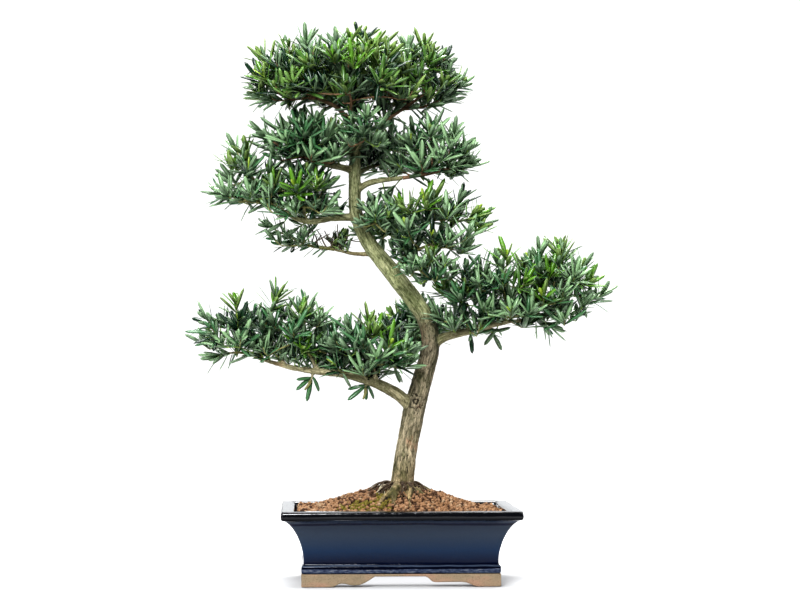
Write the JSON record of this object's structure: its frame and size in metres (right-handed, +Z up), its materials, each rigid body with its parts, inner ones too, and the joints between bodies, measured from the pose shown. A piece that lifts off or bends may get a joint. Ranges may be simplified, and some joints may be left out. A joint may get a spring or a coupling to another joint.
{
  "type": "potted podocarpus bonsai",
  "caption": "Bonsai tree with a leaning, curved trunk and layered pads of long narrow leaves, planted in a low glazed rectangular pot on unglazed feet.",
  "frame": {"origin": "middle of the whole plant's bounding box, at the level of the pot's underside", "axes": "+Z up, +X to the right of the tree's front, +Y towards its back"},
  "size_m": [0.5322, 0.2396, 0.7044],
  "materials": {
    "glaze": "gloss",
    "clay": "matte",
    "soil": "matte",
    "bark": "matte",
    "foliage": "satin"
  },
  "bodies": {
    "root": {"pot": "glaze", "pot_foot": "clay", "soil_mound": "soil", "trunk": "bark", "bough_low_left": "bark", "bough_right": "bark", "bough_middle_right": "bark", "bough_third_left": "bark", "bough_fourth_left": "bark", "bough_third_back": "bark", "bough_second_right": "bark", "bough_second_left": "bark", "bough_second_back": "bark", "bough_second_front": "bark", "bough_crown_left": "bark", "bough_crown_right": "bark", "bough_crown_front": "bark", "bough_crown_back": "bark", "bough_low_back": "bark", "riser_low_middle": "bark", "riser_low_inner": "bark", "riser_low_tip": "bark", "riser_right_inner": "bark", "riser_right_middle": "bark", "riser_third_inner": "bark", "riser_middle_low": "bark", "spur_low_inner": "bark", "spur_low_middle": "bark", "foliage_crown_left": "foliage", "foliage_crown_right": "foliage", "foliage_crown_front": "foliage", "foliage_crown_back": "foliage", "foliage_second_left": "foliage", "foliage_second_right": "foliage", "foliage_second_back": "foliage", "foliage_second_front": "foliage", "foliage_third_tip": "foliage", "foliage_third_inner": "foliage", "foliage_third_back": "foliage", "foliage_fourth_left": "foliage", "foliage_middle_right": "foliage", "foliage_middle_low": "foliage", "foliage_trunk_tuft": "foliage", "foliage_right_outer": "foliage", "foliage_right_middle": "foliage", "foliage_right_inner": "foliage", "foliage_low_tip": "foliage", "foliage_low_middle": "foliage", "foliage_low_inner": "foliage", "foliage_low_back": "foliage", "foliage_drop_inner": "foliage", "foliage_drop_middle": "foliage"}
  },
  "joints": []
}
